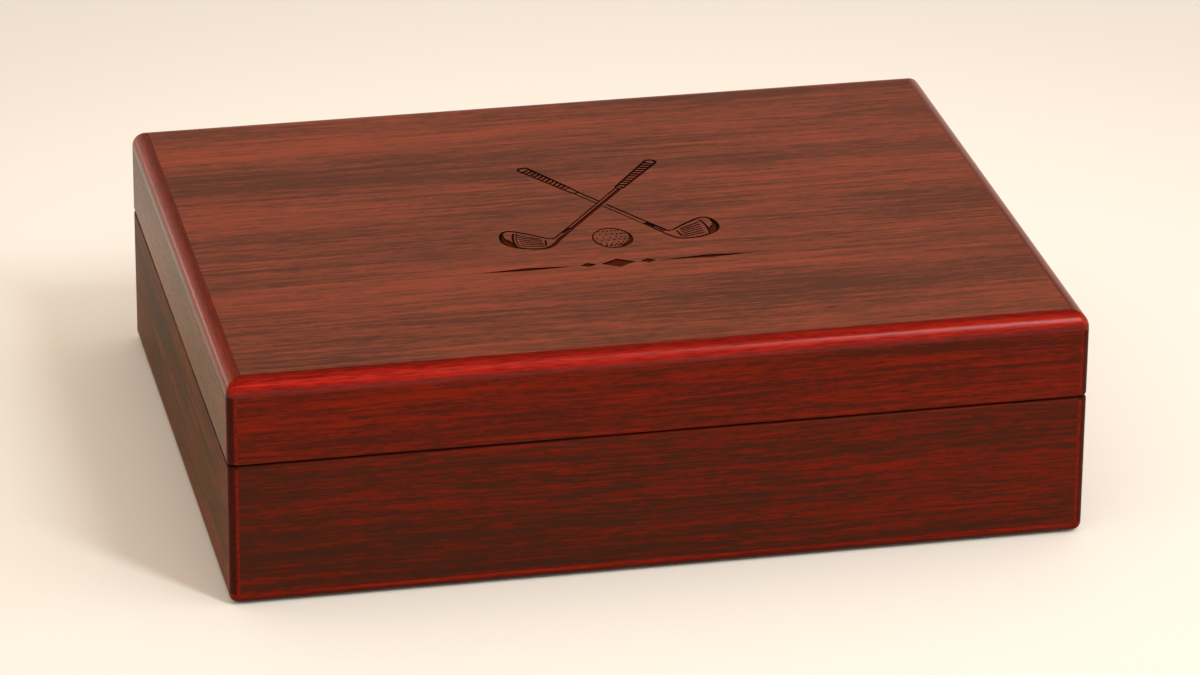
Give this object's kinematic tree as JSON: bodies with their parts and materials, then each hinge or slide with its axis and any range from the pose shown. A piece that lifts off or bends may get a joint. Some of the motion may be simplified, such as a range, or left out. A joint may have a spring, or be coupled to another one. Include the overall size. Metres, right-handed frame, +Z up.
{
  "type": "golf ball box",
  "caption": "Shallow hinged wooden box with a rosewood finish, a carved lid with a rounded red edge, and a velvet-lined inside with a foam insert for golf balls.",
  "frame": {"origin": "on the underside of the felt, below the middle of the wooden box", "axes": "+X to the right along the width, +Y to the back where the hinges are, +Z up"},
  "size_m": [0.229, 0.182, 0.0635],
  "materials": {
    "rosewood_veneer": "fine dark brown-red grain under a satin gloss lacquer",
    "red_edge_wood": "plain bright red stained solid wood under a satin gloss lacquer",
    "velvet_lining": "short black velvet pile",
    "flocked_foam": "black flocked foam",
    "underside_felt": "dark brown wool felt",
    "brass": "polished, lightly worn"
  },
  "bodies": {
    "base": {"base_front_wall": "rosewood_veneer", "base_back_wall": "rosewood_veneer", "base_left_wall": "rosewood_veneer", "base_right_wall": "rosewood_veneer", "base_floor_panel": "rosewood_veneer", "base_foot_strip_front": "red_edge_wood", "base_foot_strip_back": "red_edge_wood", "base_foot_strip_left": "red_edge_wood", "base_foot_strip_right": "red_edge_wood", "base_corner_strip_front_left": "red_edge_wood", "base_corner_strip_front_right": "red_edge_wood", "base_corner_strip_back_left": "red_edge_wood", "base_corner_strip_back_right": "red_edge_wood", "base_felt": "underside_felt", "base_lining_front": "velvet_lining", "base_lining_back": "velvet_lining", "base_lining_left": "velvet_lining", "base_lining_right": "velvet_lining", "insert_floor_pad": "velvet_lining", "ball_insert": "flocked_foam", "hinge_left_base_leaf": "brass", "hinge_left_base_screw_left": "brass", "hinge_left_base_screw_right": "brass", "hinge_right_base_leaf": "brass", "hinge_right_base_screw_left": "brass", "hinge_right_base_screw_right": "brass", "hinge_left_pin": "brass", "hinge_right_pin": "brass"},
    "lid": {"lid_front_wall": "rosewood_veneer", "lid_back_wall": "rosewood_veneer", "lid_left_wall": "rosewood_veneer", "lid_right_wall": "rosewood_veneer", "lid_top_panel": "rosewood_veneer", "lid_edge_strip_front": "red_edge_wood", "lid_edge_strip_back": "red_edge_wood", "lid_edge_strip_left": "red_edge_wood", "lid_edge_strip_right": "red_edge_wood", "lid_corner_strip_front_left": "red_edge_wood", "lid_corner_strip_front_right": "red_edge_wood", "lid_corner_strip_back_left": "red_edge_wood", "lid_corner_strip_back_right": "red_edge_wood", "lid_lining_front": "velvet_lining", "lid_lining_back": "velvet_lining", "lid_lining_left": "velvet_lining", "lid_lining_right": "velvet_lining", "lid_lining_pad": "velvet_lining", "hinge_left_lid_leaf": "brass", "hinge_left_lid_screw_left": "brass", "hinge_left_lid_screw_right": "brass", "hinge_right_lid_leaf": "brass", "hinge_right_lid_screw_left": "brass", "hinge_right_lid_screw_right": "brass"}
  },
  "joints": [
    {"name": "lid_hinge", "type": "hinge", "parent": "base", "child": "lid", "pos_m": [0, 0.0911, 0.03975], "axis": [-1, 0, 0], "range_deg": [0, 96]}
  ]
}
